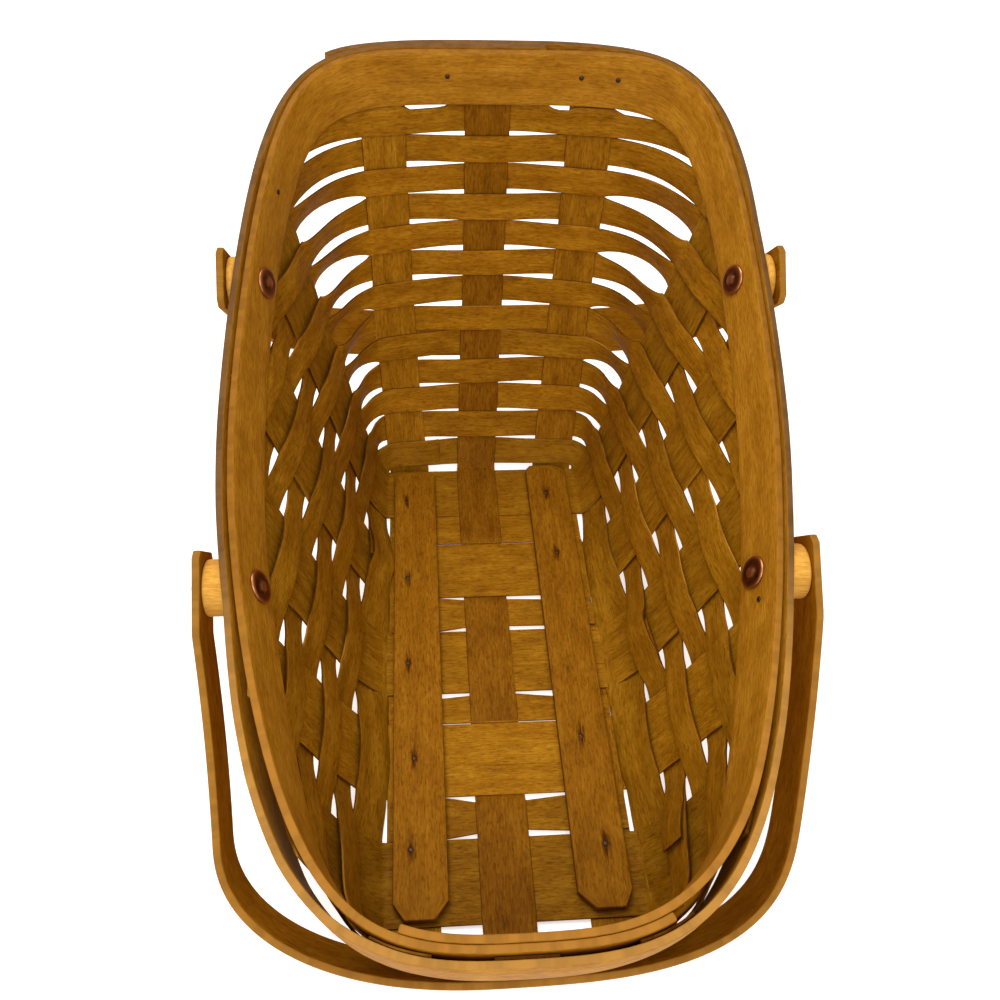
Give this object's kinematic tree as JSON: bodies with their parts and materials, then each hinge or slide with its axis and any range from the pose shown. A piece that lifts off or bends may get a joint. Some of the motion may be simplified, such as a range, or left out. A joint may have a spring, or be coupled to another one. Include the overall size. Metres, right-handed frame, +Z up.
{
  "type": "vegetable basket",
  "caption": "Woven wood-splint garden basket with a high back, a low front, banded sloping rim and a swing handle at each end.",
  "frame": {"origin": "on the table, under the middle of the whole basket's bounding box", "axes": "+X to the basket's right seen from its low front, +Y towards the high back, +Z up"},
  "size_m": [0.2496, 0.3684, 0.2273],
  "materials": {
    "stained_maple": "satin, warm brown stain",
    "band_maple": "satin, warm brown stain",
    "runner_maple": "satin, warm brown stain",
    "light_wood": "satin, lighter turned wood",
    "aged_copper": "dark polished copper",
    "blued_steel": "dark tack heads"
  },
  "bodies": {
    "basket": {"inner_rim_band": "band_maple", "outer_rim_band": "band_maple", "stake_lengthwise_left": "stained_maple", "stake_lengthwise_centre": "stained_maple", "stake_lengthwise_right": "stained_maple", "stake_crosswise_1": "stained_maple", "stake_crosswise_2": "stained_maple", "stake_crosswise_3": "stained_maple", "stake_crosswise_4": "stained_maple", "stake_crosswise_5": "stained_maple", "floor_filler_1": "stained_maple", "floor_filler_2": "stained_maple", "floor_filler_3": "stained_maple", "floor_filler_4": "stained_maple", "weaver_row_01": "stained_maple", "weaver_row_02": "stained_maple", "weaver_row_03": "stained_maple", "weaver_row_04": "stained_maple", "weaver_row_05": "stained_maple", "weaver_row_06": "stained_maple", "weaver_row_07": "stained_maple", "weaver_row_08": "stained_maple", "weaver_row_09": "stained_maple", "weaver_row_10": "stained_maple", "weaver_row_11": "stained_maple", "weaver_row_12": "stained_maple", "weaver_row_13": "stained_maple", "floor_runner_left": "runner_maple", "floor_runner_right": "runner_maple", "rivet_front_right": "aged_copper", "rivet_front_left": "aged_copper", "rivet_back_right": "aged_copper", "rivet_back_left": "aged_copper", "spacer_front_right": "light_wood", "spacer_front_left": "light_wood", "spacer_back_right": "light_wood", "spacer_back_left": "light_wood", "runner_tack_left_1": "blued_steel", "runner_tack_left_2": "blued_steel", "runner_tack_left_3": "blued_steel", "runner_tack_left_4": "blued_steel", "runner_tack_left_5": "blued_steel", "runner_tack_right_1": "blued_steel", "runner_tack_right_2": "blued_steel", "runner_tack_right_3": "blued_steel", "runner_tack_right_4": "blued_steel", "rim_tack_1": "blued_steel", "rim_tack_2": "blued_steel", "rim_tack_3": "blued_steel", "rim_tack_4": "blued_steel", "rim_tack_5": "blued_steel"},
    "front_handle": {"front_handle": "band_maple"},
    "back_handle": {"back_handle": "band_maple"}
  },
  "joints": [
    {"name": "front_handle_hinge", "type": "hinge", "parent": "basket", "child": "front_handle", "pos_m": [-0.00181, -0.04994, 0.10516], "axis": [-1, 0, 0], "range_deg": [0, 142]},
    {"name": "back_handle_hinge", "type": "hinge", "parent": "basket", "child": "back_handle", "pos_m": [0.00181, 0.06952, 0.1628], "axis": [1, 0, 0], "range_deg": [-12, 150]}
  ]
}
